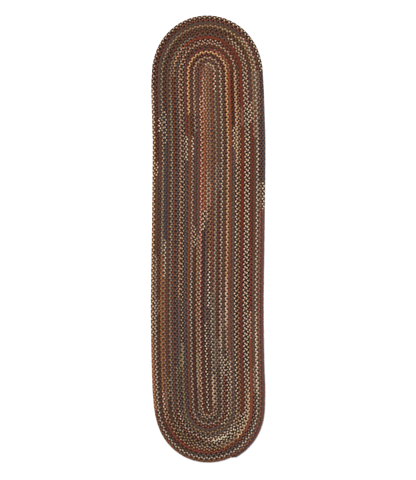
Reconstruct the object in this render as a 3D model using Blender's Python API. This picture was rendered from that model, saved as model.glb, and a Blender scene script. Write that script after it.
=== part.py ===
"""Braided oval runner rug: one long three-strand braid wound into an oval and laced edge to edge.

Metres, +Z up. The rug lies flat on z = 0 with its length along Y. Seen from above, the braid starts
as a straight run in the middle and is wound clockwise round it, and its tapered tail is laced down
on the right-hand side of the foot (-Y) end.
"""

import math

import bmesh
import bpy

# ---------------------------------------------------------------- driving sizes
BRAID_WIDTH = 0.016  # one round of the coil, from lacing to lacing
ROUNDS = 19  # rounds on each side of the middle line
CORE_LENGTH = 1.834  # first straight run, between the centres of the two round ends
THICKNESS = 0.011  # floor to the crest of a round
LACING_DEPTH = 0.003  # the laced seam between two rounds lies this far below the crests
FLANK_DROP = 0.0008  # a round falls this much from its crest to a quarter of its width

LINES_PER_ROUND = 4  # lacing, flank, crest, flank
STRAIGHT_ROWS = 12  # cross-sections along the straight runs
HEAD_STEPS = 18  # facets round the head (+Y) end

# The rounded outer edge of the rug, from its widest line down to the floor.
EDGE_ROLL = (
    # inset   height
    (0.0000, 0.0065),
    (0.0006, 0.0028),
    (0.0030, 0.0000),
)

# The head is wound round the middle line. The foot is wound round the core's own centre line, half a
# round to the left of it, which is what makes the rounds a spiral.
HEAD_CENTRE_X = 0.0
FOOT_CENTRE_X = -BRAID_WIDTH / 2

# The tail follows the foot end for TAIL_SWEEP, thins out on its way and stops in a short blunt step.
TAIL_SWEEP = math.radians(62)
TAIL_STEP = math.radians(4)
TAIL_THINS_FROM = math.radians(8)
TAIL_END_WIDTH = 0.75  # of a braid's width, just before the blunt end
FOOT_STEPS_ALONG_TAIL = 6
FOOT_STEPS_AFTER_TAIL = 11

# How the laced rug has pulled out of its ideal oval. The ends are shorter than half circles, and the
# rug is a little narrower over them.
HEAD_SHORTENING = 0.986
FOOT_SHORTENING = 0.965
HEAD_NARROWING = 0.030
FOOT_NARROWING = 0.035
NARROWS_FROM = 0.13  # inside an end's centre
NARROWS_UNTIL = 0.11  # past an end's centre

# The centre line drifts from side to side along the length.
DRIFT = (
    # along    sideways
    (1.210, -0.0035),
    (0.860, -0.0035),
    (0.680, 0.0014),
    (0.520, 0.0055),
    (0.160, 0.0025),
    (-0.200, -0.0024),
    (-0.360, -0.0041),
    (-0.630, -0.0008),
    (-0.800, 0.0045),
    (-0.980, 0.0098),
    (-1.210, 0.0100),
)

WELD = 0.00001
YARN_COLOUR = (0.115, 0.062, 0.047, 1.0)

LINE_GAP = BRAID_WIDTH / LINES_PER_ROUND
HALF_WIDTH = ROUNDS * BRAID_WIDTH
HALF_CORE = CORE_LENGTH / 2
EDGE_HEIGHT = EDGE_ROLL[0][1]
FOOT_RADIUS = HALF_WIDTH + FOOT_CENTRE_X  # outside of the last full round at the foot


def clear_scene():
    for thing in list(bpy.data.objects):
        bpy.data.objects.remove(thing, do_unlink=True)


def smooth_step(value):
    value = min(max(value, 0.0), 1.0)
    return value * value * (3.0 - 2.0 * value)


# ---------------------------------------------------------------- the ribbed cross-section
def top_height(line):
    """Height of the top face on a line, where line 0 is the lacing at the middle of the rug."""
    lacing, flank, crest = THICKNESS - LACING_DEPTH, THICKNESS - FLANK_DROP, THICKNESS
    return (lacing, flank, crest, flank)[line % LINES_PER_ROUND]


def cross_section():
    """(x, z) of the top face and both rolled edges, from the left side's base to the right's."""
    last = ROUNDS * LINES_PER_ROUND
    top = [(line * LINE_GAP, top_height(line)) for line in range(1 - last, last)]
    right = [(HALF_WIDTH - inset, height) for inset, height in EDGE_ROLL]
    left = [(-x, z) for x, z in reversed(right)]
    return left + top + right


def lay_cross_section(mesh, y):
    points = [mesh.verts.new((x, y, z)) for x, z in cross_section()]
    return [mesh.edges.new(pair) for pair in zip(points, points[1:])]


# ---------------------------------------------------------------- straight runs and wound ends
def draw_out(mesh, chain, length, rows):
    """Extrudes the chain of edges towards -Y in equal rows, and returns the last chain."""
    for _ in range(rows):
        made = bmesh.ops.extrude_edge_only(mesh, edges=chain)["geom"]
        moved = [part for part in made if isinstance(part, bmesh.types.BMVert)]
        bmesh.ops.translate(mesh, verts=moved, vec=(0.0, -length / rows, 0.0))
        fresh = set(moved)
        chain = [
            part
            for part in made
            if isinstance(part, bmesh.types.BMEdge) and fresh.issuperset(part.verts)
        ]
    return chain


def right_of(chain, x):
    """The edges of a cross-section that lie to the right of x."""
    return [edge for edge in chain if min(v.co.x for v in edge.verts) > x - WELD]


def wind(mesh, chain, centre, turns):
    """Spins the chain about a vertical axis, through one (angle, steps) turn after another."""
    for angle, steps in turns:
        points = list({point for edge in chain for point in edge.verts})
        made = bmesh.ops.spin(
            mesh,
            geom=points + chain,
            cent=centre,
            axis=(0.0, 0.0, 1.0),
            angle=angle,
            steps=steps,
            use_duplicate=False,
        )
        chain = [part for part in made["geom_last"] if isinstance(part, bmesh.types.BMEdge)]


# ---------------------------------------------------------------- the tail of the braid
def tail_width(sweep):
    """Width of the outermost run at the foot, as a share of a braid's, after it has swept this far."""
    if sweep > TAIL_SWEEP + TAIL_STEP / 2:
        return 0.0
    thinned = smooth_step((sweep - TAIL_THINS_FROM) / (TAIL_SWEEP - TAIL_THINS_FROM))
    return 1.0 - (1.0 - TAIL_END_WIDTH) * thinned


def taper_tail(point):
    """Draws the outermost run in towards the round inside it, until nothing of it is left."""
    x, y = point.x - FOOT_CENTRE_X, point.y + HALF_CORE
    if y > WELD:
        return
    radius = math.hypot(x, y)
    outside = FOOT_RADIUS - WELD
    rolled = max(inset for inset, _ in EDGE_ROLL)
    if radius < outside:
        return
    width = tail_width(abs(math.atan2(y, x)))
    wall = min(FOOT_RADIUS + BRAID_WIDTH - radius, rolled)
    if point.z > EDGE_HEIGHT - WELD:
        reach = FOOT_RADIUS + (radius - FOOT_RADIUS) * width
        point.z = EDGE_HEIGHT + (point.z - EDGE_HEIGHT) * width
    else:
        reach = FOOT_RADIUS + BRAID_WIDTH * width - wall
    point.x = FOOT_CENTRE_X + x * reach / radius
    point.y = -HALF_CORE + y * reach / radius


# ---------------------------------------------------------------- how the rug has settled
def drift(y):
    """Sideways drift of the centre line, by a smooth curve through the DRIFT rows."""
    rows = sorted(DRIFT)
    y = min(max(y, rows[0][0]), rows[-1][0])
    at = max(i for i in range(len(rows) - 1) if rows[i][0] <= y)
    (y0, a), (y1, b) = rows[at], rows[at + 1]
    before, after = rows[max(at - 1, 0)], rows[min(at + 2, len(rows) - 1)]
    span = y1 - y0
    slope_a = (b - before[1]) / (y1 - before[0]) * span
    slope_b = (after[1] - a) / (after[0] - y0) * span
    t = (y - y0) / span
    return (
        a * (1 + 2 * t) * (1 - t) ** 2
        + b * t * t * (3 - 2 * t)
        + slope_a * t * (1 - t) ** 2
        - slope_b * t * t * (1 - t)
    )


def settle(point):
    """Moves a point of the ideal oval to where it lies in the finished rug."""
    beyond = abs(point.y) - HALF_CORE
    at_head = point.y > 0
    if beyond > 0:
        length = beyond * (HEAD_SHORTENING if at_head else FOOT_SHORTENING)
        point.y = math.copysign(HALF_CORE + length, point.y)
    most = HEAD_NARROWING if at_head else FOOT_NARROWING
    narrowing = most * smooth_step((beyond + NARROWS_FROM) / (NARROWS_FROM + NARROWS_UNTIL))
    point.x = point.x * (1.0 - narrowing) + drift(point.y)


def centre_on_origin(mesh):
    """Puts the middle of the rug's outline on the origin."""
    xs = [point.co.x for point in mesh.verts]
    ys = [point.co.y for point in mesh.verts]
    middle = ((min(xs) + max(xs)) / 2, (min(ys) + max(ys)) / 2)
    bmesh.ops.translate(mesh, verts=mesh.verts, vec=(-middle[0], -middle[1], 0.0))


# ---------------------------------------------------------------- material and object
def yarn_material():
    material = bpy.data.materials.new("braided_yarn")
    material.use_nodes = True
    shader = material.node_tree.nodes["Principled BSDF"]
    shader.inputs["Base Color"].default_value = YARN_COLOUR
    shader.inputs["Roughness"].default_value = 0.95
    shader.inputs["Metallic"].default_value = 0.0
    material.diffuse_color = YARN_COLOUR
    return material


def make_rug():
    mesh = bmesh.new()
    head_chain = lay_cross_section(mesh, HALF_CORE)
    head_half = right_of(head_chain, HEAD_CENTRE_X)
    foot_chain = draw_out(mesh, head_chain, CORE_LENGTH, STRAIGHT_ROWS)
    foot_half = right_of(foot_chain, FOOT_CENTRE_X)

    wind(mesh, head_half, (HEAD_CENTRE_X, HALF_CORE, 0.0), [(math.pi, HEAD_STEPS)])
    past_tail = math.pi - TAIL_SWEEP - TAIL_STEP
    foot_turns = [
        (-TAIL_SWEEP, FOOT_STEPS_ALONG_TAIL),
        (-TAIL_STEP, 1),
        (-past_tail, FOOT_STEPS_AFTER_TAIL),
    ]
    wind(mesh, foot_half, (FOOT_CENTRE_X, -HALF_CORE, 0.0), foot_turns)

    for point in mesh.verts:
        taper_tail(point.co)
    bmesh.ops.remove_doubles(mesh, verts=mesh.verts, dist=WELD)
    underside = [edge for edge in mesh.edges if edge.is_boundary]
    bmesh.ops.contextual_create(mesh, geom=underside)
    for point in mesh.verts:
        settle(point.co)
    centre_on_origin(mesh)
    bmesh.ops.recalc_face_normals(mesh, faces=mesh.faces)

    data = bpy.data.meshes.new("braided_rug")
    mesh.to_mesh(data)
    mesh.free()
    rug = bpy.data.objects.new("braided_rug", data)
    data.materials.append(yarn_material())
    data.shade_smooth()
    data.set_sharp_from_angle(angle=math.radians(50))
    return rug


def main():
    clear_scene()
    collection = bpy.data.collections.new("braided_rug")
    bpy.context.scene.collection.children.link(collection)
    rug = make_rug()
    collection.objects.link(rug)
    rug.data.calc_loop_triangles()
    print("rug size", [round(side, 4) for side in rug.dimensions])
    print("triangles", len(rug.data.loop_triangles))


main()
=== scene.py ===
# %% [markdown]
# # A braided oval runner rug
#
# This rug is one long braid. Three soft strands of yarn are plaited into a flat braid, and the braid
# is wound round a straight core, clockwise and outwards, until it makes a long oval. Each round is
# laced to the one inside it, and the tail is thinned and laced down on the side of the foot.
#
# We build it in the same order. First comes the line that the braid follows, then one repeat of one
# strand, then the braid laid along its line, then the yarns and their finish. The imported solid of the
# rug says how big everything is, so we load that before anything else.

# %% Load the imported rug
import math

import bpy
import numpy as np
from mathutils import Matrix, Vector


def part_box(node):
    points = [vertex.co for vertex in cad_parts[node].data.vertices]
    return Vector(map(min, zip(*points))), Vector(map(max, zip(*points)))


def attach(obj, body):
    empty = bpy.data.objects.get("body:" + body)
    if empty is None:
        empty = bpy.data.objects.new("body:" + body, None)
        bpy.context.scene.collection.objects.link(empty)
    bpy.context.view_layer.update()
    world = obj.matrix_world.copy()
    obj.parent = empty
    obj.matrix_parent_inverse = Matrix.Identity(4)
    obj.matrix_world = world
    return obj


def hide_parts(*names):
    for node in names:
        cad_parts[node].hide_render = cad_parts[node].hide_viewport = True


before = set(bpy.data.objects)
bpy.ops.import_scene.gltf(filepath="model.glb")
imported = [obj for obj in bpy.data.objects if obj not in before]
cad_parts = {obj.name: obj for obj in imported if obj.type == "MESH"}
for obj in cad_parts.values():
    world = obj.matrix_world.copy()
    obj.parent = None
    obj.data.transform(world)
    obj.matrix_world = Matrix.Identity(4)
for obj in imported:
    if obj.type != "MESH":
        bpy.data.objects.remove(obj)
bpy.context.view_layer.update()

RUG_NODE = "braided_rug"
low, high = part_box(RUG_NODE)
rug_size = high - low
print("packed rug", [round(side, 4) for side in rug_size])

# %% [markdown]
# ## Camera, floor and light
#
# The rug is seen from straight above, through a long lens, and it nearly fills the height of the
# picture. The lens could be found by trial, but we work it out: the picture's height covers a known
# length of rug. The sensor's width counts along the picture's longer side, which is its height here.

# %% The camera, straight above
PICTURE_HEIGHT = 480  # pixels
METRES_PER_PIXEL = 0.005409  # on the rug
RIGHT_OF_MIDDLE = 0.05  # how far the rug's middle lies from the picture's, in pixels
ABOVE_MIDDLE = 1.0
CAMERA_HEIGHT = 7.0  # metres above the floor
SENSOR = 36.0  # millimetres


def deselect():
    bpy.ops.object.select_all(action="DESELECT")


def select_only(thing):
    """An operator acts on all that is selected, so each one gets only what it is for."""
    deselect()
    thing.select_set(True)
    bpy.context.view_layer.objects.active = thing


deselect()
bpy.ops.object.camera_add(
    location=(-RIGHT_OF_MIDDLE * METRES_PER_PIXEL, -ABOVE_MIDDLE * METRES_PER_PIXEL, CAMERA_HEIGHT),
    rotation=(0.0, 0.0, 0.0),
)
camera = bpy.context.object
camera.name = "camera"
camera.data.type = "PERSP"
camera.data.sensor_fit = "AUTO"
camera.data.sensor_width = SENSOR
camera.data.lens = SENSOR * (CAMERA_HEIGHT - rug_size.z) / (PICTURE_HEIGHT * METRES_PER_PIXEL)
bpy.context.scene.camera = camera
print("lens", round(camera.data.lens, 1), "mm")

# %% [markdown]
# A rug on a white sweep has almost no shadow. A bright, even sky does most of the work, and one large
# lamp, a little to the side, gives the plaited lobes a lit side and a shaded one. Several lamps would
# each leave a shadow of their own.

# %% Floor, sky and one large lamp
FLOOR_SIZE = 40.0
FLOOR_COLOUR = (0.90, 0.90, 0.90, 1.0)
FLOOR_ROUGHNESS = 0.9
SKY_STRENGTH = 0.78
LAMP_POWER = 260.0
LAMP_SIZE = 3.0
LAMP_PLACE = (-1.8, 2.2, 5.0)

deselect()
bpy.ops.mesh.primitive_plane_add(size=FLOOR_SIZE, location=(0.0, 0.0, 0.0))
floor = bpy.context.object
floor.name = "floor"
floor_paint = bpy.data.materials.new("floor_paint")
floor_paint.use_nodes = True
floor_shader = floor_paint.node_tree.nodes["Principled BSDF"]
floor_shader.inputs["Base Color"].default_value = FLOOR_COLOUR
floor_shader.inputs["Roughness"].default_value = FLOOR_ROUGHNESS
floor.data.materials.append(floor_paint)

bpy.ops.object.light_add(type="AREA", location=LAMP_PLACE)
lamp = bpy.context.object
lamp.name = "lamp"
lamp.data.shape = "DISK"
lamp.data.size = LAMP_SIZE
lamp.data.energy = LAMP_POWER
lamp.rotation_euler = Vector(LAMP_PLACE).to_track_quat("Z", "Y").to_euler()

world = bpy.data.worlds.new("sky")
world.use_nodes = True
world.node_tree.nodes["Background"].inputs["Color"].default_value = (1.0, 1.0, 1.0, 1.0)
world.node_tree.nodes["Background"].inputs["Strength"].default_value = SKY_STRENGTH
bpy.context.scene.world = world
bpy.context.scene.view_settings.view_transform = "Standard"
print("floor", FLOOR_SIZE, "m wide, lamp", LAMP_POWER, "W, sky", SKY_STRENGTH)

# %% [markdown]
# ## The line of the braid
#
# The core is a straight run. At the head the braid turns round the end of the middle line. At the
# foot it turns round a centre half a braid to the left, and that is what makes the rounds a spiral.
# We call each straight run, together with the turn that follows it, a half round. Even half rounds
# run up to the head, on the left, and odd ones run down to the foot, on the right.
#
# The line could be drawn by hand, but rows worked out from a few sizes keep all the rounds one braid
# apart. The core starts a little below the first turn, and the last turn thins to the tail.

# %% Sizes of the coil
BRAID_WIDTH = 0.016
ROUNDS = 19
CORE_LENGTH = 1.834
HALF_CORE = CORE_LENGTH / 2
CORE_START = -HALF_CORE - 1.2 * BRAID_WIDTH  # tucked in under the first turn
HALF_ROUNDS = 2 * ROUNDS
FOOT_CENTRE_X = -BRAID_WIDTH / 2

TAIL_SWEEP = math.radians(62)
TAIL_STEP = math.radians(4)
TAIL_THINS_FROM = math.radians(8)
TAIL_END_WIDTH = 0.75
TAIL_COVER = 0.4  # how much of its short last step the braid covers
print(HALF_ROUNDS, "half rounds on a core of", CORE_LENGTH, "m")


def smooth_step(value):
    """From 0 to 1 as the value goes from 0 to 1, with a soft start and end."""
    value = min(max(value, 0.0), 1.0)
    return value * value * (3.0 - 2.0 * value)


def tail_width(sweep):
    """Width of the tail, as a share of the braid's, after it has swept this far round the foot."""
    thinned = smooth_step((sweep - TAIL_THINS_FROM) / (TAIL_SWEEP - TAIL_THINS_FROM))
    into_step = max(sweep - TAIL_SWEEP, 0.0) / TAIL_STEP
    return (1.0 - (1.0 - TAIL_END_WIDTH) * thinned) * (1.0 - into_step)


# %% [markdown]
# A laced rug is never a perfect oval. Its ends pull in, it is a little narrower over them, and its
# middle line wanders by a few millimetres. One function moves any point of the perfect oval to where
# it lies in the real rug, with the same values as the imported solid.

# %% How the rug has settled
HEAD_SHORTENING = 0.986
FOOT_SHORTENING = 0.965
HEAD_NARROWING = 0.030
FOOT_NARROWING = 0.035
NARROWS_FROM = 0.13
NARROWS_UNTIL = 0.11
DRIFT = (
    # along    sideways
    (1.210, -0.0035),
    (0.860, -0.0035),
    (0.680, 0.0014),
    (0.520, 0.0055),
    (0.160, 0.0025),
    (-0.200, -0.0024),
    (-0.360, -0.0041),
    (-0.630, -0.0008),
    (-0.800, 0.0045),
    (-0.980, 0.0098),
    (-1.210, 0.0100),
)


def drift(y):
    """Sideways drift of the middle line, by a smooth curve through the DRIFT rows."""
    rows = sorted(DRIFT)
    y = min(max(y, rows[0][0]), rows[-1][0])
    at = max(i for i in range(len(rows) - 1) if rows[i][0] <= y)
    (y0, a), (y1, b) = rows[at], rows[at + 1]
    before, after = rows[max(at - 1, 0)], rows[min(at + 2, len(rows) - 1)]
    span = y1 - y0
    slope_a = (b - before[1]) / (y1 - before[0]) * span
    slope_b = (after[1] - a) / (after[0] - y0) * span
    t = (y - y0) / span
    return (
        a * (1 + 2 * t) * (1 - t) ** 2
        + b * t * t * (3 - 2 * t)
        + slope_a * t * (1 - t) ** 2
        - slope_b * t * t * (1 - t)
    )


def settle(x, y):
    """Where a point of the perfect oval lies in the finished rug."""
    beyond = abs(y) - HALF_CORE
    at_head = y > 0
    if beyond > 0:
        length = beyond * (HEAD_SHORTENING if at_head else FOOT_SHORTENING)
        y = math.copysign(HALF_CORE + length, y)
    most = HEAD_NARROWING if at_head else FOOT_NARROWING
    narrowing = most * smooth_step((beyond + NARROWS_FROM) / (NARROWS_FROM + NARROWS_UNTIL))
    return x * (1.0 - narrowing) + drift(y), y


print("the middle line drifts", round(drift(-HALF_CORE) - drift(HALF_CORE), 4), "m from head to foot")


# %% Straight runs and turns, as rows of x, y, heading and width
STRAIGHT_STEP = 0.04
TURN_STEP = 0.016
LEAST_TURN_STEPS = 14


def straight_run(x, start, end):
    """Rows along a straight run, without its end."""
    steps = round(abs(end - start) / STRAIGHT_STEP)
    heading = math.copysign(math.pi / 2, end - start)
    return [(x, start + (end - start) * i / steps, heading, 1.0) for i in range(steps)]


def turn(centre, radius, start, sweep, thins=False):
    """Rows round an end, clockwise. The last is left to the next run, but a tail, which thins, has it."""
    steps = max(LEAST_TURN_STEPS, round(radius * sweep / TURN_STEP))
    rows = []
    for i in range(steps + 1 if thins else steps):
        swept = sweep * i / steps
        width = tail_width(swept) if thins else 1.0
        reach = radius - (1.0 - width) * BRAID_WIDTH / 2  # a thin tail keeps to the round inside it
        angle = start - swept
        x = centre[0] + reach * math.cos(angle)
        y = centre[1] + reach * math.sin(angle)
        rows.append((x, y, angle - math.pi / 2, width))
    return rows


def half_round(number):
    """Rows along one straight run and the turn after it."""
    from_middle = number // 2 + 0.5
    if number % 2 == 0:
        x = -from_middle * BRAID_WIDTH
        run = straight_run(x, -HALF_CORE if number else CORE_START, HALF_CORE)
        return run + turn((0.0, HALF_CORE), -x, math.pi, math.pi)
    x = from_middle * BRAID_WIDTH
    last = number == HALF_ROUNDS - 1
    sweep = TAIL_SWEEP + TAIL_COVER * TAIL_STEP if last else math.pi
    run = straight_run(x, HALF_CORE, -HALF_CORE)
    return run + turn((FOOT_CENTRE_X, -HALF_CORE), x - FOOT_CENTRE_X, 0.0, sweep, thins=last)


half_round_rows = [half_round(number) for number in range(HALF_ROUNDS)]
row_counts = [len(rows) for rows in half_round_rows]
print("a half round has from", min(row_counts), "to", max(row_counts), "rows")


# %% [markdown]
# Each row becomes a station: both edges of the braid are settled, and the station lies midway between
# them. The last round has no neighbour outside it, so its outer edge, on its left, bulges a little. The
# distance from one station to the next, added up, tells how much braid the rug takes.

# %% Stations along the braid
OUTER_BULGE = 0.10  # of a braid's width


def station(row):
    """Left and right edge of the braid at a row, in the finished rug."""
    x, y, heading, width = row
    aside = BRAID_WIDTH * width / 2
    across = (-math.sin(heading) * aside, math.cos(heading) * aside)
    left = settle(x + across[0], y + across[1])
    right = settle(x - across[0], y - across[1])
    return left + right


edges = np.array([station(row) for rows in half_round_rows for row in rows])
left, right = edges[:, :2], edges[:, 2:]
rug_middle = (np.minimum(left, right).min(axis=0) + np.maximum(left, right).max(axis=0)) / 2
first_rows = np.cumsum([0] + [len(rows) for rows in half_round_rows[:-1]])
last_round = slice(first_rows[HALF_ROUNDS - 2], None)
left[last_round] += OUTER_BULGE * (left - right)[last_round]
middles = (left + right) / 2 - rug_middle
widths = np.hypot(*(left - right).T) / BRAID_WIDTH

gone = np.concatenate([[0.0], np.cumsum(np.hypot(*np.diff(middles, axis=0).T))])
half_round_starts = gone[first_rows]
braid_length = float(gone[-1])
print("braid", round(braid_length, 2), "m in", len(gone), "stations")

# %% [markdown]
# ## One repeat of one strand
#
# In a flat three-strand braid every strand swings from side to side. It passes over its neighbours on
# the way out and under them on the way in, so it rises and falls twice in each swing. A curve with a
# round bevel would look like a hose. So we model one such swing of one strand: a ring is drawn out in
# short steps, and each new ring is turned to face the way the strand goes and flattened where its
# neighbours press on it.

# %% How a strand runs through the braid
PIECES = 10  # lengths of braid, each an object of its own
REPEATS = 315  # in each piece
STRANDS = 3
REPEAT = braid_length / (PIECES * REPEATS + (STRANDS - 1) / STRANDS)

STEPS = 8
SIDES = 6
HALF_STRAND = 0.0041
LOBE_REACH = 0.0003  # how far the lobes press into the next round
SWING = BRAID_WIDTH / 2 - HALF_STRAND + LOBE_REACH
SQUARENESS = 0.07  # the strand lingers at the braid's edges and crosses its middle quickly
PRESSED = 0.0024  # half the strand's thickness where it crosses the middle
PLUMPER = 0.0011  # and how much more it has at the edges


def strand_height(share):
    """Half the strand's thickness after a share of its repeat."""
    return PRESSED + PLUMPER * math.sin(2 * math.pi * share) ** 2


RISE = rug_size.z / 2 - strand_height(1 / 8)  # it crests an eighth of a repeat after the middle


def strand_middle(share):
    """Middle of the strand after a share of its repeat: along, across and above the braid's middle."""
    angle = 2 * math.pi * share
    across = SWING * (math.sin(angle) + SQUARENESS * math.sin(3 * angle))
    return Vector((share * REPEAT, across, RISE * math.sin(2 * angle)))


def strand_heading(share):
    """Which way the strand goes there, as an angle from the braid's length."""
    angle = 2 * math.pi * share
    slope = SWING * (math.cos(angle) + 3 * SQUARENESS * math.cos(3 * angle))
    return math.atan2(slope * 2 * math.pi, REPEAT)


print("swing", round(SWING * 1000, 2), "mm, rise", round(RISE * 1000, 2), "mm")


# %% Draw the ring out through one repeat
def shape_ring(share, turned, flattened):
    """Turns the selected ring about its middle and changes its height."""
    middle = strand_middle(share)
    # With no window, this operator turns the other way.
    bpy.ops.transform.rotate(value=-turned, orient_axis="Z", center_override=middle)
    bpy.ops.transform.resize(value=(1.0, 1.0, flattened), center_override=middle)


deselect()
bpy.ops.mesh.primitive_circle_add(
    vertices=SIDES, radius=HALF_STRAND, location=strand_middle(0.0), rotation=(0.0, math.pi / 2, 0.0)
)
strand = bpy.context.object
strand.name = "strand_repeat"
bpy.ops.object.transform_apply(location=True, rotation=True, scale=True)
bpy.ops.object.mode_set(mode="EDIT")
bpy.ops.mesh.select_all(action="SELECT")
ring_height = HALF_STRAND * math.sin(2 * math.pi / SIDES)  # of six points, from middle to top
shape_ring(0.0, strand_heading(0.0), strand_height(0.0) / ring_height)
for step in range(STEPS):
    here, there = step / STEPS, (step + 1) / STEPS
    move = strand_middle(there) - strand_middle(here)
    bpy.ops.mesh.extrude_region_move(TRANSFORM_OT_translate={"value": move})
    turned = strand_heading(there) - strand_heading(here)
    shape_ring(there, turned, strand_height(there) / strand_height(here))
bpy.ops.mesh.select_all(action="SELECT")
bpy.ops.mesh.normals_make_consistent(inside=False)
# Extrude orders the faces of a ring differently in each run, so they are sorted.
bpy.ops.mesh.sort_elements(type="CURSOR_DISTANCE", elements={"FACE"})
bpy.ops.object.mode_set(mode="OBJECT")
strand.data.shade_smooth()
print("one repeat of a strand:", len(strand.data.polygons), "faces,", round(REPEAT * 1000, 2), "mm")

# %% [markdown]
# The finish needs to know where it is on the yarn. So the strand gets a UV map: U counts repeats along
# the strand and V goes once round it. Then two copies are slid along by a third and two thirds of a
# repeat, which puts three strands in one braid, and a point attribute keeps each strand's number.

# %% Number the rings and sides, then copy the strand
YARN_MAP = "along_and_around"
STRAND_NUMBER = "strand"


def corner_values(mesh):
    """Vertex index and face index of every face corner."""
    vertex = np.empty(len(mesh.loops), dtype=np.int32)
    mesh.loops.foreach_get("vertex_index", vertex)
    counts = np.empty(len(mesh.polygons), dtype=np.int32)
    mesh.polygons.foreach_get("loop_total", counts)
    return vertex, np.repeat(np.arange(len(counts)), counts)


corner_vertex, corner_face = corner_values(strand.data)
along = (corner_vertex // SIDES) / STEPS
around = (corner_vertex % SIDES) / SIDES
crosses_seam = np.zeros(len(strand.data.polygons), dtype=bool)
np.logical_or.at(crosses_seam, corner_face, corner_vertex % SIDES == SIDES - 1)
around[crosses_seam[corner_face] & (around == 0.0)] = 1.0
while strand.data.uv_layers:
    strand.data.uv_layers.remove(strand.data.uv_layers[0])
yarn_map = strand.data.uv_layers.new(name=YARN_MAP)
yarn_map.uv.foreach_set("vector", np.stack([along, around], axis=1).ravel())

strands = [strand]
for number in range(1, STRANDS):
    select_only(strand)
    bpy.ops.object.duplicate()
    copy = bpy.context.object
    copy.location.x += REPEAT * number / STRANDS
    bpy.ops.object.transform_apply(location=True, rotation=False, scale=False)
    strands.append(copy)
for number, one in enumerate(strands):
    numbers = one.data.attributes.new(STRAND_NUMBER, "INT", "POINT")
    numbers.data.foreach_set("value", [number] * len(one.data.vertices))
select_only(strand)
for one in strands:
    one.select_set(True)
bpy.ops.object.join()
braid_repeat = bpy.context.object
braid_repeat.name = "braid_repeat"
print("one repeat of the braid:", len(braid_repeat.data.polygons), "faces")

# %% [markdown]
# ## Lay the braid along its line
#
# An Array modifier repeats the braid in a straight line, and a Curve modifier bends that line along
# the coil. A braid of 87 m would make one huge object, so it is laid in ten lengths that follow on
# from each other. The last repeat of a length meets the first one of the next, strand by strand. The
# curve's radius sets how wide and high the braid is: the start is narrower and lower, so that it
# lies tucked under the first turn, and so is the tail.

# %% A path for each length
BRAID_MIDDLE = rug_size.z / 2
OVERLAP = REPEAT * (STRANDS - 1) / STRANDS  # how far the third strand runs on past the first
TUCK_LENGTH = 0.012  # the core's start is drawn in over this length
TUCK_WIDTH = 0.5
TUCK_STEPS = 5


def tuck(distance):
    """Width near the start of the braid, as a share of the full width."""
    emerged = np.clip(distance / TUCK_LENGTH, 0.0, 1.0)
    return TUCK_WIDTH + (1.0 - TUCK_WIDTH) * np.sin(emerged * math.pi / 2)


def path_between(name, start, end):
    """A curve along the stations from start to end, in metres of braid."""
    inside = gone[(gone > start) & (gone < end)]
    tucked = [x for x in np.linspace(0.0, TUCK_LENGTH, TUCK_STEPS + 1) if start < x < end]
    at = np.unique(np.concatenate([[start], inside, tucked, [end]]))
    width = np.interp(at, gone, widths) * tuck(at)
    curve = bpy.data.curves.new(name, "CURVE")
    curve.dimensions = "3D"
    curve.twist_mode = "Z_UP"
    curve.use_deform_bounds = False
    curve.resolution_u = 1
    spline = curve.splines.new("POLY")
    spline.points.add(len(at) - 1)
    x = np.interp(at, gone, middles[:, 0])
    y = np.interp(at, gone, middles[:, 1])
    rows = np.stack([x, y, BRAID_MIDDLE * np.minimum(width, 1.0), np.ones(len(at))], axis=1)
    spline.points.foreach_set("co", rows.ravel())
    spline.points.foreach_set("radius", width)
    path = bpy.data.objects.new(name, curve)
    bpy.context.scene.collection.objects.link(path)
    return path


# %% Repeat, bend and close one length
WELD = 0.00005


def close_ends():
    """Caps the open ends of the active piece's strands."""
    bpy.ops.object.mode_set(mode="EDIT")
    bpy.ops.mesh.select_mode(type="EDGE")
    bpy.ops.mesh.select_all(action="DESELECT")
    bpy.ops.mesh.select_non_manifold()
    bpy.ops.mesh.fill_holes(sides=SIDES)
    bpy.ops.mesh.select_all(action="DESELECT")
    bpy.ops.object.mode_set(mode="OBJECT")


def lay_braid(number):
    """One length of the braid, along its part of the coil."""
    start = number * REPEATS * REPEAT
    path = path_between("coil_path", start, start + REPEATS * REPEAT + OVERLAP)
    select_only(braid_repeat)
    bpy.ops.object.duplicate()
    piece = bpy.context.object
    piece.name = f"braid_{number + 1:02d}"
    repeated = piece.modifiers.new("repeats", "ARRAY")
    repeated.fit_type = "FIXED_COUNT"
    repeated.count = REPEATS
    repeated.use_relative_offset = False
    repeated.use_constant_offset = True
    repeated.constant_offset_displace = (REPEAT, 0.0, 0.0)
    repeated.use_merge_vertices = True
    repeated.merge_threshold = WELD
    repeated.offset_u = 1.0
    bent = piece.modifiers.new("coil", "CURVE")
    bent.object = path
    bent.deform_axis = "POS_X"
    for modifier in (repeated, bent):
        bpy.ops.object.modifier_apply(modifier=modifier.name)
    bpy.data.objects.remove(path)
    close_ends()
    return piece


braids = [lay_braid(number) for number in range(PIECES)]
bpy.data.objects.remove(braid_repeat)
faces_laid = [len(piece.data.polygons) for piece in braids]
print(PIECES, "lengths laid,", sum(faces_laid), "faces in all")

# %% [markdown]
# Handwork is uneven. A cloud texture pushes every strand about by up to a millimetre, and the floor
# flattens whatever would go below it. Random moves of single points would crumple the strands, but
# clouds in space move neighbouring points alike.

# %% Make the braid uneven
UNEVEN_SIZE = 0.012
UNEVEN_STRENGTH = 0.0022  # from the most one way to the most the other

clouds = bpy.data.textures.new("uneven_clouds", "CLOUDS")
clouds.noise_scale = UNEVEN_SIZE
clouds.noise_depth = 1
clouds.cloud_type = "COLOR"


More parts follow.
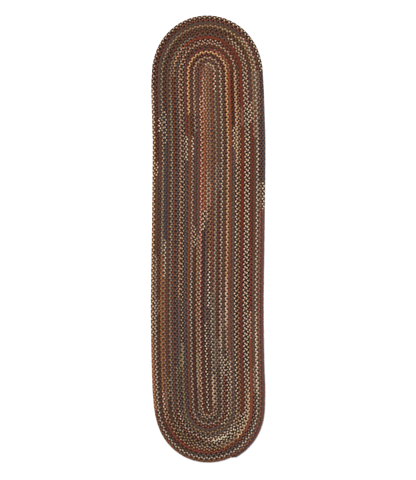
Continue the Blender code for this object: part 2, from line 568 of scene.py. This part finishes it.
def unsettle(piece):
    """Moves the points of a piece a little, and keeps them above the floor."""
    select_only(piece)
    uneven = piece.modifiers.new("uneven", "DISPLACE")
    uneven.texture = clouds
    uneven.texture_coords = "LOCAL"
    uneven.direction = "RGB_TO_XYZ"
    uneven.mid_level = 0.5
    uneven.strength = UNEVEN_STRENGTH
    bpy.ops.object.modifier_apply(modifier=uneven.name)
    mesh = piece.data
    points = np.empty(len(mesh.vertices) * 3, dtype=np.float32)
    mesh.vertices.foreach_get("co", points)
    points = points.reshape(-1, 3)
    points[:, 2] = np.clip(points[:, 2], 0.0, rug_size.z)
    mesh.vertices.foreach_set("co", points.ravel())
    mesh.update()
    return points


heights = np.concatenate([unsettle(piece)[:, 2] for piece in braids])
print("braid from", round(float(heights.min()), 4), "to", round(float(heights.max()), 4), "m high")

# %% [markdown]
# ## The yarns
#
# The rug is made of leftover yarns, each used until it ran out, so all three colours keep changing.
# The yarns' colours, and the places where they change, were measured along the braid on the photo,
# and then named and typed in. The chart says which three yarns run through each half round. A
# distance is in metres of braid from the start of the half round, and the last yarns of a line run
# on to its end. The short white bits are where a new skein was let in. Each round has two lines, up
# to the head and down to the foot. With names, a colour is changed in one place for the whole rug.

# %% Colours of the yarns, in sRGB
YARNS = {
    "white": (230, 211, 186),
    "ivory": (216, 192, 161),
    "cream": (201, 175, 146),
    "peach": (190, 157, 126),
    "wheat": (210, 181, 137),
    "honey": (212, 171, 118),
    "straw": (184, 164, 112),
    "oat": (168, 153, 120),
    "beige": (173, 149, 119),
    "khaki": (154, 132, 98),
    "tan": (181, 137, 99),
    "gold": (170, 119, 78),
    "sage": (152, 140, 107),
    "moss": (144, 126, 90),
    "coral": (160, 102, 75),
    "orange": (150, 79, 42),
    "copper": (138, 80, 60),
    "rust": (118, 51, 26),
    "brick": (132, 54, 37),
    "crimson": (120, 27, 24),
    "rose": (142, 117, 102),
    "clay": (114, 74, 56),
    "taupe": (105, 81, 66),
    "brown": (94, 59, 42),
    "russet": (98, 49, 24),
    "maroon": (92, 38, 29),
    "olive": (85, 60, 37),
    "mauve": (92, 71, 66),
    "grey": (105, 97, 93),
    "slate": (87, 80, 79),
    "plum": (70, 45, 41),
    "umber": (64, 38, 23),
    "oxblood": (64, 18, 10),
    "navy": (32, 38, 52),
    "black": (25, 13, 9),
}
print(len(YARNS), "yarns")


def linear(value):
    """An sRGB value from 0 to 255 as linear light."""
    value /= 255
    return value / 12.92 if value <= 0.04045 else ((value + 0.055) / 1.055) ** 2.4


# %% The yarns in each half round
YARN_CHART = (
    # round 1
    "cream umber black to 0.195, ivory oxblood black to 0.495, grey clay umber to 1.045,"
    " peach grey russet to 1.315, tan mauve russet",
    "gold brown slate to 0.6, tan rose russet to 0.73, gold clay black to 0.97,"
    " cream brick black to 1.08, white oxblood black to 1.28, rose plum black to 1.5, clay plum umber",
    # round 2
    "clay plum oxblood to 0.35, clay navy oxblood to 0.97, ivory oxblood black to 1.08,"
    " gold brick rust to 1.5, tan orange russet to 1.62, cream orange maroon to 1.8, rose orange brown",
    "orange clay plum to 0.3, orange clay navy to 1.2, tan grey black to 1.27,"
    " cream mauve black to 1.65, cream peach oxblood to 1.8, peach clay maroon",
    # round 3
    "cream rust oxblood to 0.12, cream brick oxblood to 0.66, cream brick crimson to 1.35,"
    " cream brick oxblood to 1.7, grey rust maroon to 1.88, cream clay taupe",
    "ivory russet navy to 0.12, khaki slate brown to 0.5, oat grey maroon to 1.2,"
    " sage slate brown to 1.6, oat clay navy to 1.85, oat mauve black",
    # round 4
    "khaki brown slate to 0.12, beige moss umber to 0.3, beige brown russet to 0.55,"
    " peach russet oxblood to 0.65, oat brown russet to 0.95, clay taupe plum to 1.4,"
    " taupe clay oxblood",
    "clay brown olive to 0.5, rose brown umber to 0.65, clay brown oxblood to 1.45,"
    " rose taupe oxblood to 1.6, clay taupe black",
    # round 5
    "brown plum oxblood to 0.5, clay umber umber to 0.88, cream oxblood oxblood to 1.0,"
    " slate brown maroon to 1.5, beige slate oxblood to 1.6, peach taupe maroon",
    "cream taupe umber to 0.3, cream slate oxblood to 0.8, cream mauve oxblood to 1.2,"
    " ivory grey black to 1.38, cream oat oxblood to 1.5, cream slate umber to 1.75, peach slate umber",
    # round 6
    "peach slate oxblood to 0.4, cream slate black to 0.75, peach slate maroon to 1.15,"
    " beige slate oxblood to 1.38, ivory mauve oxblood to 1.48, clay brown black to 1.8,"
    " clay maroon black",
    "clay brown black to 0.5, clay brown umber to 0.7, clay brown plum to 1.3, rose maroon olive to 1.4,"
    " grey russet umber to 1.55, ivory brown black to 1.65, coral maroon black",
    # round 7
    "copper brown olive to 0.45, copper taupe maroon to 0.6, orange brown olive to 1.6,"
    " honey gold oxblood",
    "honey gold oxblood to 0.35, wheat gold oxblood to 1.12, ivory peach black to 1.38,"
    " cream slate russet to 1.5, cream oxblood black to 1.75, ivory umber navy to 1.93,"
    " mauve brown slate",
    # round 8
    "grey maroon navy to 0.4, grey brown navy to 1.35, ivory slate black to 1.48,"
    " taupe plum crimson to 2.05, rose crimson rust",
    "orange brick brown to 0.4, brick clay brown to 0.7, copper brick brown to 1.2,"
    " clay brick taupe to 1.5, rose clay rust to 1.57, ivory brown russet to 1.73,"
    " oat clay maroon to 1.85, khaki brown olive",
    # round 9
    "khaki brown olive to 0.24, khaki sage oxblood to 0.36, beige oxblood black to 1.9,"
    " clay brown black to 2.05, rust olive umber",
    "rust umber black to 0.3, ivory oxblood black to 0.42, grey brown plum to 0.6,"
    " grey brown olive to 1.3, grey clay plum to 2.0, rose mauve black",
    # round 10
    "grey brown black to 0.2, moss mauve umber to 0.3, grey clay plum to 0.6, peach brown maroon",
    "peach tan oxblood to 0.24, cream tan black to 0.5, ivory russet black to 0.6,"
    " ivory oxblood black to 1.75, cream brown oxblood to 1.92, ivory brown oxblood to 2.1,"
    " cream maroon black",
    # round 11
    "beige umber oxblood to 0.06, moss slate oxblood to 0.24, grey brown black to 1.9,"
    " rose maroon black to 2.03, peach oxblood black to 2.17, clay olive oxblood",
    "coral umber black to 0.18, tan maroon black to 0.7, tan plum oxblood to 1.0,"
    " tan maroon black to 1.5, gold brown umber to 1.85, peach clay oxblood to 1.93,"
    " white brown black to 2.0, white ivory black to 2.08, cream taupe umber to 2.12, coral plum black",
    # round 12
    "copper brown navy to 0.6, orange brown navy to 1.3, orange maroon black to 1.8,"
    " sage rust oxblood to 1.86, peach orange black to 1.98, orange brick oxblood to 2.06,"
    " brick rust russet to 2.2, rust brown crimson",
    "rust brown crimson to 0.2, coral clay crimson to 0.3, rust rust maroon to 0.5,"
    " rust crimson maroon to 0.85, brick maroon plum to 1.4, clay crimson plum to 1.85,"
    " ivory oxblood black to 2.0, cream umber black to 2.1, khaki umber oxblood to 2.28,"
    " beige brown black",
    # round 13
    "khaki slate umber to 0.3, sage mauve russet to 0.7, oat slate oxblood to 1.4,"
    " sage slate umber to 1.7, moss slate oxblood to 2.06, clay taupe black to 2.28, beige russet umber",
    "cream brown black to 0.36, ivory maroon black to 1.38, ivory umber black to 1.62,"
    " cream maroon umber to 1.8, ivory clay oxblood to 1.98, peach taupe umber to 2.1,"
    " peach umber navy to 2.22, khaki umber oxblood to 2.4, brown plum olive",
    # round 14
    "brown plum umber to 0.06, sage russet oxblood to 0.18, clay brown plum to 1.0,"
    " clay olive plum to 1.9, clay olive oxblood to 2.28, cream russet oxblood",
    "cream maroon oxblood to 0.2, ivory oxblood black to 0.72, ivory russet black to 0.96,"
    " ivory oxblood black to 1.62, ivory brown oxblood to 1.74, ivory tan oxblood to 2.0,"
    " tan taupe clay to 2.1, tan brown black",
    # round 15
    "coral grey brown to 0.12, gold slate maroon to 0.72, ivory slate umber to 0.92,"
    " slate brown navy to 1.44, peach navy black to 1.62, clay plum black to 2.0, clay olive black",
    "brown slate maroon to 0.17, ivory rust black to 0.28, clay crimson umber to 0.95,"
    " copper brick black to 1.3, cream crimson crimson to 1.45, orange clay brick to 1.95,"
    " orange clay oxblood to 2.2, copper brown crimson to 2.5, cream brick oxblood",
    # round 16
    "ivory rust maroon to 0.1, moss orange russet to 0.84, oat mauve brown to 0.96,"
    " sage slate brown to 1.32, oat russet navy to 1.68, sage brown plum to 1.92,"
    " khaki taupe brown to 2.04, khaki clay russet to 2.3, straw brown russet",
    "khaki clay clay to 0.2, beige clay russet to 0.36, clay brown olive to 1.0,"
    " clay taupe olive to 1.6, beige slate maroon to 1.74, rose maroon black to 2.04,"
    " grey brown black to 2.3, taupe umber umber",
    # round 17
    "taupe umber oxblood to 0.3, brown olive umber to 0.52, khaki brown oxblood to 0.6,"
    " clay brown black to 1.2, clay russet plum to 1.5, ivory oxblood oxblood to 1.58,"
    " slate brown olive to 2.44, cream rust slate",
    "cream taupe slate to 0.18, cream slate brown to 0.36, ivory slate oxblood to 0.6,"
    " ivory slate umber to 1.3, ivory rose oxblood to 1.42, white beige oxblood to 1.75,"
    " ivory slate umber to 2.1, cream slate oxblood",
    # round 18
    "cream slate oxblood to 0.6, beige slate maroon to 0.84, mauve brown olive to 1.26,"
    " cream maroon black to 1.34, clay maroon black to 2.1, copper brown black",
    "rose clay russet to 0.1, rose russet umber to 0.25, clay mauve black to 0.6,"
    " tan slate oxblood to 0.72, coral rust slate to 1.44, coral brown mauve to 2.1, orange umber taupe",
    # round 19
    "tan orange russet to 0.4, wheat rust umber to 1.55, ivory clay umber to 1.74,"
    " peach oxblood black to 2.4, cream umber black",
    "slate plum umber to 0.12, slate clay navy to 0.6, ivory plum black to 0.75, brick mauve slate",
)
print(sum(len(line.split(",")) for line in YARN_CHART), "stretches in", len(YARN_CHART), "half rounds")


# %% [markdown]
# The chart names three yarns, but not which strand each is in. A yarn that goes on being used stays in
# its strand, so a strand changes colour only where its own yarn runs out.

# %% Read the chart, strand by strand
def keep_strands(before, names):
    """The names in strand order: a yarn that goes on stays in its strand, the others fill the gaps."""
    new = list(names)
    order = [None] * STRANDS
    for number, name in enumerate(before):
        if name in new:
            order[number] = name
            new.remove(name)
    return [name or new.pop(0) for name in order]


def read_chart():
    """Where each strand's yarns begin, in metres of braid, and their names."""
    begins, names = [], []
    current = []
    for start, line in zip(half_round_starts, YARN_CHART):
        begin = start
        for entry in line.split(","):
            yarns, _, until = entry.partition(" to ")
            current = keep_strands(current, yarns.split())
            begins.append(begin)
            names.append(current)
            if until:
                begin = start + float(until)
    return np.array(begins), names


begins, yarn_names = read_chart()
yarn_colours = np.array(
    [[[linear(value) for value in YARNS[name]] for name in three] for three in yarn_names]
)
changes = sum(a != b for three, after in zip(yarn_names, yarn_names[1:]) for a, b in zip(three, after))
print(changes, "changes of yarn")


# %% Give every point its yarn
YARN_COLOUR = "yarn"


def strand_and_repeat(mesh):
    """For every point: the number of its strand, and the repeats along it."""
    strand_of = np.empty(len(mesh.vertices), dtype=np.int32)
    mesh.attributes[STRAND_NUMBER].data.foreach_get("value", strand_of)
    vertex, _ = corner_values(mesh)
    uv = np.empty(len(mesh.loops) * 2, dtype=np.float32)
    mesh.uv_layers[YARN_MAP].uv.foreach_get("vector", uv)
    repeat = np.zeros(len(mesh.vertices))
    np.maximum.at(repeat, vertex, uv[0::2])
    return strand_of, repeat


def colour_yarns(piece, number):
    """Writes the colour of its yarn to every point of a piece."""
    strand_of, repeat = strand_and_repeat(piece.data)
    distance = (number * REPEATS + repeat + strand_of / STRANDS) * REPEAT
    stretch = np.searchsorted(begins, distance, side="right") - 1
    colours = np.ones((len(distance), 4))
    colours[:, :3] = yarn_colours[stretch, strand_of]
    painted = piece.data.attributes.new(YARN_COLOUR, "FLOAT_COLOR", "POINT")
    painted.data.foreach_set("color", colours.ravel())


for number, piece in enumerate(braids):
    colour_yarns(piece, number)
print("coloured", len(braids), "pieces")

# %% [markdown]
# One more UV map lays all the faces out in a grid, for anyone who bakes the finish to an image. An
# unwrap operator would have to look for seams in every piece, and we know where each face belongs.
# The strands are cut into rows: a column is one step of a strand, and a row is as high as once round
# it. The end caps take the last cells.

# %% A map for baking
BAKE_MAP = "OFBake"
BAKE_ROWS = 36
BAKE_COLUMNS = 216
BAKE_MARGIN = 0.05  # of a row's height
CAPS = 2 * STRANDS  # in each piece
CAP_HALF_WIDTH = 0.4  # of a cell
CAP_HALF_HEIGHT = 0.1


def lay_out_for_baking(piece):
    """Gives each face a place of its own on a UV map, and returns the least and most of it."""
    mesh = piece.data
    strand_of, _ = strand_and_repeat(mesh)
    vertex, face = corner_values(mesh)
    uv = np.empty(len(mesh.loops) * 2, dtype=np.float32)
    mesh.uv_layers[YARN_MAP].uv.foreach_get("vector", uv)
    steps = uv[0::2] * STEPS
    sides = np.bincount(face)
    first = np.full(len(sides), np.inf)
    np.minimum.at(first, face, steps)
    cell = np.round(first[face]) + strand_of[vertex] * REPEATS * STEPS
    local = np.clip(steps - np.round(first[face]), 0.0, 1.0)
    height = uv[1::2] * (1.0 - BAKE_MARGIN) + BAKE_MARGIN / 2
    is_cap = sides[face] > 4
    corner = np.arange(len(face)) - np.concatenate([[0], np.cumsum(sides)])[face]
    angle = 2 * math.pi * corner / sides[face]
    cell[is_cap] = BAKE_ROWS * BAKE_COLUMNS - 1 - face[is_cap] % CAPS
    local[is_cap] = 0.5 + CAP_HALF_WIDTH * np.cos(angle[is_cap])
    height[is_cap] = 0.5 + CAP_HALF_HEIGHT * np.sin(angle[is_cap])
    row, column = np.divmod(cell, BAKE_COLUMNS)
    spread = np.stack([(column + local) / BAKE_COLUMNS, (row + height) / BAKE_ROWS], axis=1)
    laid_out = mesh.uv_layers.new(name=BAKE_MAP)
    laid_out.uv.foreach_set("vector", spread.ravel())
    mesh.uv_layers.active = mesh.uv_layers[YARN_MAP]
    return float(spread.min()), float(spread.max())


spreads = [lay_out_for_baking(piece) for piece in braids]
print("baking map from", min(least for least, _ in spreads), "to", max(most for _, most in spreads))

# %% [markdown]
# ## The lacing between the rounds
#
# Between the rounds, and in the small openings of the plait, a rug shows its lacing thread and its own
# shaded depth. Here a dark sheet stands for both: it is the lacing, and its darkness is also painted
# shade. The imported solid already has that shape, so a copy of it is merged, drawn in a little,
# pressed flat and left at half height, where the strands hide all but the openings.

# %% Press a copy of the solid flat
GROUND_LOW = 0.0025
GROUND_HIGH = 0.0055
GROUND_INSET = 0.008  # on each side
MERGE = 0.00001

ground_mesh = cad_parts[RUG_NODE].data.copy()
ground = bpy.data.objects.new("laced_ground_and_painted_shade", ground_mesh)
bpy.context.scene.collection.objects.link(ground)
select_only(ground)
flattening = (GROUND_HIGH - GROUND_LOW) / rug_size.z
drawn_in = [1.0 - 2 * GROUND_INSET / side for side in rug_size[:2]]
bpy.ops.object.mode_set(mode="EDIT")
bpy.ops.mesh.select_mode(type="VERT")
bpy.ops.mesh.select_all(action="SELECT")
bpy.ops.mesh.remove_doubles(threshold=MERGE)
bpy.ops.transform.resize(
    value=(*drawn_in, flattening), center_override=(0.0, 0.0, GROUND_LOW / (1.0 - flattening))
)
bpy.ops.object.mode_set(mode="OBJECT")
print("ground", [round(side, 4) for side in ground.dimensions], len(ground.data.polygons), "faces")

# %% [markdown]
# ## The finish
#
# Every yarn is wool, so all yarns share one finish, and the lacing has the same with other values. A
# picture of wool would repeat itself over so long a braid, so we work the finish out from two effects,
# each a node group. First come a few helpers that place a node and link it in one line.

# %% Make a node group with named sockets
def new_group(name, inputs, outputs):
    """An empty shader group. Inputs are name: (type, value), and outputs are name: type."""
    group = bpy.data.node_groups.new(name, "ShaderNodeTree")
    for label, (kind, value) in inputs.items():
        socket = group.interface.new_socket(label, in_out="INPUT", socket_type=kind)
        if value is not None:
            socket.default_value = value
    for label, kind in outputs.items():
        group.interface.new_socket(label, in_out="OUTPUT", socket_type=kind)
    return group, group.nodes.new("NodeGroupInput"), group.nodes.new("NodeGroupOutput")


# %% Place a node and link it
def feed(tree, value, socket):
    """Links a socket to another one, or sets a plain value on it."""
    if isinstance(value, bpy.types.NodeSocket):
        tree.links.new(value, socket)
    else:
        socket.default_value = value


def math_node(tree, operation, first, second=0.0):
    """The result of a Math node. Each value is a socket or a number."""
    node = tree.nodes.new("ShaderNodeMath")
    node.operation = operation
    feed(tree, first, node.inputs[0])
    feed(tree, second, node.inputs[1])
    return node.outputs[0]


def scaled(tree, vector, scale):
    """A vector or colour times one number."""
    node = tree.nodes.new("ShaderNodeVectorMath")
    node.operation = "SCALE"
    feed(tree, vector, node.inputs[0])
    feed(tree, scale, node.inputs["Scale"])
    return node.outputs[0]


def multiply_add(tree, vector, factor, addend):
    """A vector or colour times a second one, plus a third. Each is a socket or three numbers."""
    node = tree.nodes.new("ShaderNodeVectorMath")
    node.operation = "MULTIPLY_ADD"
    for value, socket in zip((vector, factor, addend), node.inputs):
        feed(tree, value, socket)
    return node.outputs[0]


# %% [markdown]
# Dyed wool is never one flat colour. Soft patches and fine fibres make it lighter and darker, and the
# patches also shift its hue a little. The group takes one place for the patches and one for the
# fibres, so that the fibres can follow the yarn while the patches stay where they are in space.

# %% The two noises of the mottle
PATCH_DETAIL = 3.0
FIBRE_DETAIL = 2.0

mottle, mottle_in, mottle_out = new_group(
    "wool_mottle",
    {
        "Colour": ("NodeSocketColor", (0.2, 0.2, 0.2, 1.0)),
        "Place": ("NodeSocketVector", None),
        "Patch Scale": ("NodeSocketFloat", 90.0),
        "Patch Amount": ("NodeSocketFloat", 0.3),
        "Hue Amount": ("NodeSocketFloat", 0.4),
        "Fibre Place": ("NodeSocketVector", None),
        "Fibre Scale": ("NodeSocketFloat", 8.0),
        "Fibre Amount": ("NodeSocketFloat", 0.35),
    },
    {"Colour": "NodeSocketColor", "Fibre": "NodeSocketFloat"},
)
patches = mottle.nodes.new("ShaderNodeTexNoise")
fibres = mottle.nodes.new("ShaderNodeTexNoise")
for noise, detail, where, scale in (
    (patches, PATCH_DETAIL, "Place", "Patch Scale"),
    (fibres, FIBRE_DETAIL, "Fibre Place", "Fibre Scale"),
):
    noise.inputs["Detail"].default_value = detail
    mottle.links.new(mottle_in.outputs[where], noise.inputs["Vector"])
    mottle.links.new(mottle_in.outputs[scale], noise.inputs["Scale"])
mottle.links.new(fibres.outputs["Fac"], mottle_out.inputs["Fibre"])
print(mottle.name, "has", len(mottle.interface.items_tree), "sockets")

# %% Lighter and darker, and a shift of hue
tone = 1.0
for noise, amount in ((patches, "Patch Amount"), (fibres, "Fibre Amount")):
    swing = math_node(mottle, "SUBTRACT", noise.outputs["Fac"], 0.5)
    swing = math_node(mottle, "MULTIPLY", swing, 2.0)  # from -1 to 1
    swing = math_node(mottle, "MULTIPLY", swing, mottle_in.outputs[amount])
    tone = math_node(mottle, "ADD", swing, tone)
toned = scaled(mottle, mottle_in.outputs["Colour"], tone)

hue_swing = multiply_add(mottle, patches.outputs["Color"], (2.0, 2.0, 2.0), (-1.0, -1.0, -1.0))
hue_swing = scaled(mottle, hue_swing, mottle_in.outputs["Hue Amount"])
hued = multiply_add(mottle, toned, hue_swing, toned)  # each channel by one and its own swing
mottle.links.new(hued, mottle_out.inputs["Colour"])
print(mottle.name, len(mottle.nodes), "nodes")

# %% [markdown]
# A strand is twisted from several plies. Its map counts along and around it, and the two counts
# together make slanted lines. The humps of a sine wave turn each line into a round ply, and a high
# power of what is missing to the top of a hump is the dark groove between two plies.

# %% The plies of a strand
GROOVE_SHARPNESS = 3.0

plies, plies_in, plies_out = new_group(
    "twisted_plies",
    {
        "Map": ("NodeSocketVector", None),
        "Plies": ("NodeSocketFloat", 5.0),
        "Twist": ("NodeSocketFloat", 3.0),
    },
    {"Height": "NodeSocketFloat", "Groove": "NodeSocketFloat", "Fibre Place": "NodeSocketVector"},
)
split = plies.nodes.new("ShaderNodeSeparateXYZ")
plies.links.new(plies_in.outputs["Map"], split.inputs[0])
along_strand = math_node(plies, "MULTIPLY", split.outputs["X"], plies_in.outputs["Twist"])
around_strand = math_node(plies, "MULTIPLY", split.outputs["Y"], plies_in.outputs["Plies"])
phase = math_node(plies, "ADD", along_strand, around_strand)
wave = math_node(plies, "SINE", math_node(plies, "MULTIPLY", phase, math.pi))
ply_height = math_node(plies, "ABSOLUTE", wave)
below_top = math_node(plies, "SUBTRACT", 1.0, ply_height)
groove = math_node(plies, "POWER", below_top, GROOVE_SHARPNESS)
plies.links.new(ply_height, plies_out.inputs["Height"])
plies.links.new(groove, plies_out.inputs["Groove"])
print(plies.name, "has", len(plies.interface.items_tree), "sockets")

# %% [markdown]
# The fibres lie along the plies. So the group also puts out a place on a cylinder: the slant is its
# angle and the way along the strand its height. A noise that reads this place is drawn out along the
# plies, and it has no seam where the map closes round the strand.

# %% Where the fibres lie
fibre_angle = math_node(plies, "DIVIDE", phase, plies_in.outputs["Plies"])
fibre_angle = math_node(plies, "MULTIPLY", fibre_angle, 2 * math.pi)
on_cylinder = plies.nodes.new("ShaderNodeCombineXYZ")
plies.links.new(math_node(plies, "COSINE", fibre_angle), on_cylinder.inputs["X"])
plies.links.new(math_node(plies, "SINE", fibre_angle), on_cylinder.inputs["Y"])
plies.links.new(split.outputs["X"], on_cylinder.inputs["Z"])
plies.links.new(on_cylinder.outputs[0], plies_out.inputs["Fibre Place"])
print(plies.name, len(plies.nodes), "nodes")

# %% [markdown]
# Wool scatters light softly, has a faint sheen at a low angle and hardly any shine, and its roughness
# follows the fibres. The strands and the lacing share all that, so one function starts a material of
# either kind, and another gives it its relief.

# %% What all the wool shares
WOOL_SHEEN = 0.08
WOOL_SHINE = 0.08
WOOL_ROUGHNESS = (0.0, 1.0, 0.75, 1.0)  # from the least fibre to the most
PLY_DEPTH = 0.0007


def place_group(tree, group, **values):
    """A group with values of its own. In a label, an underscore stands for a space."""
    node = tree.nodes.new("ShaderNodeGroup")
    node.node_tree = group
    for label, value in values.items():
        node.inputs[label.replace("_", " ")].default_value = value
    return node


def map_range(tree, value, ranges):
    """A Map Range node's result. The ranges are From Min, From Max, To Min and To Max."""
    node = tree.nodes.new("ShaderNodeMapRange")
    node.interpolation_type = "SMOOTHSTEP"
    for label, limit in zip(("From Min", "From Max", "To Min", "To Max"), ranges):
        node.inputs[label].default_value = limit
    tree.links.new(value, node.inputs["Value"])
    return node.outputs["Result"]


def new_wool(name, **mottle_values):
    """A wool material, with its object's coordinates, its mottle and its shader."""
    material = bpy.data.materials.new(name)
    material.use_nodes = True
    tree = material.node_tree
    shader = tree.nodes["Principled BSDF"]
    shader.inputs["Sheen Weight"].default_value = WOOL_SHEEN
    shader.inputs["Specular IOR Level"].default_value = WOOL_SHINE
    place = tree.nodes.new("ShaderNodeTexCoord").outputs["Object"]
    mottled = place_group(tree, mottle, **mottle_values)
    tree.links.new(place, mottled.inputs["Place"])
    tree.links.new(place, mottled.inputs["Fibre Place"])
    roughness = map_range(tree, mottled.outputs["Fibre"], WOOL_ROUGHNESS)
    tree.links.new(roughness, shader.inputs["Roughness"])
    return material, place, mottled, shader


def raise_surface(material, height, shader):
    """Gives a material its relief, from a socket with its height."""
    bump = material.node_tree.nodes.new("ShaderNodeBump")
    bump.inputs["Distance"].default_value = PLY_DEPTH
    material.node_tree.links.new(height, bump.inputs["Height"])
    material.node_tree.links.new(bump.outputs["Normal"], shader.inputs["Normal"])


# %% The yarn and the plies of the strands
wool, place, mottled, shader = new_wool("braided_wool")
tree = wool.node_tree
yarn_colour = tree.nodes.new("ShaderNodeAttribute")
yarn_colour.attribute_name = YARN_COLOUR
strand_map = tree.nodes.new("ShaderNodeUVMap")
strand_map.uv_map = YARN_MAP
plied = place_group(tree, plies)
tree.links.new(strand_map.outputs["UV"], plied.inputs["Map"])
tree.links.new(yarn_colour.outputs["Color"], mottled.inputs["Colour"])
tree.links.new(plied.outputs["Fibre Place"], mottled.inputs["Fibre Place"])
print(wool.name, "reads", yarn_colour.attribute_name, "and", strand_map.uv_map)

# %% [markdown]
# Little light gets in between the plies, and low down between the lobes. The plies are only bump, which
# casts no shade of its own, so the colour is darkened in their grooves, and towards the floor too.

# %% Shade and relief of the strands
GROOVE_DARKNESS = 0.45
CREVICE = (0.004, 0.0095, 0.35, 1.0)  # from this height to that one, the colour goes from dark to full
FIBRE_SHARE = 0.35  # of the bump

darkened = math_node(tree, "MULTIPLY", plied.outputs["Groove"], -GROOVE_DARKNESS)
darkened = math_node(tree, "ADD", darkened, 1.0)
position = tree.nodes.new("ShaderNodeSeparateXYZ")
tree.links.new(place, position.inputs[0])
darkened = math_node(tree, "MULTIPLY", darkened, map_range(tree, position.outputs["Z"], CREVICE))
tree.links.new(scaled(tree, mottled.outputs["Colour"], darkened), shader.inputs["Base Color"])

fibre_height = math_node(tree, "MULTIPLY", mottled.outputs["Fibre"], FIBRE_SHARE)
wool_height = math_node(tree, "ADD", plied.outputs["Height"], fibre_height)
raise_surface(wool, wool_height, shader)
for piece in braids:
    piece.data.materials.clear()
    piece.data.materials.append(wool)
print(wool.name, "on", len(braids), "pieces")

# %% [markdown]
# The lacing is a dark thread of the same kind, and its darkness is also painted shade in the openings
# between the strands. It lies too deep for its plies to show, so its mottle reads the place in space
# alone.

# %% The lacing
# Dark for the lacing thread, and as painted shade in the openings between the strands
LACING_AND_SHADE_COLOUR = (0.035, 0.022, 0.018, 1.0)
LACING_PATCHES = 150.0
LACING_FIBRES = 900.0

lacing, _, laced_mottle, lacing_shader = new_wool(
    "lacing_and_painted_shade", Colour=LACING_AND_SHADE_COLOUR, Patch_Scale=LACING_PATCHES, Fibre_Scale=LACING_FIBRES
)
lacing.node_tree.links.new(laced_mottle.outputs["Colour"], lacing_shader.inputs["Base Color"])
raise_surface(lacing, laced_mottle.outputs["Fibre"], lacing_shader)
ground.data.materials.clear()
ground.data.materials.append(lacing)
print(lacing.name, "on", ground.name)

# %% [markdown]
# ## Tie it to the imported solid
#
# Everything moves with the one body and stands for the one solid.

for piece in [ground, *braids]:
    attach(piece, "root")
    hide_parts(RUG_NODE)
print("declared", len(braids) + 1, "pieces")
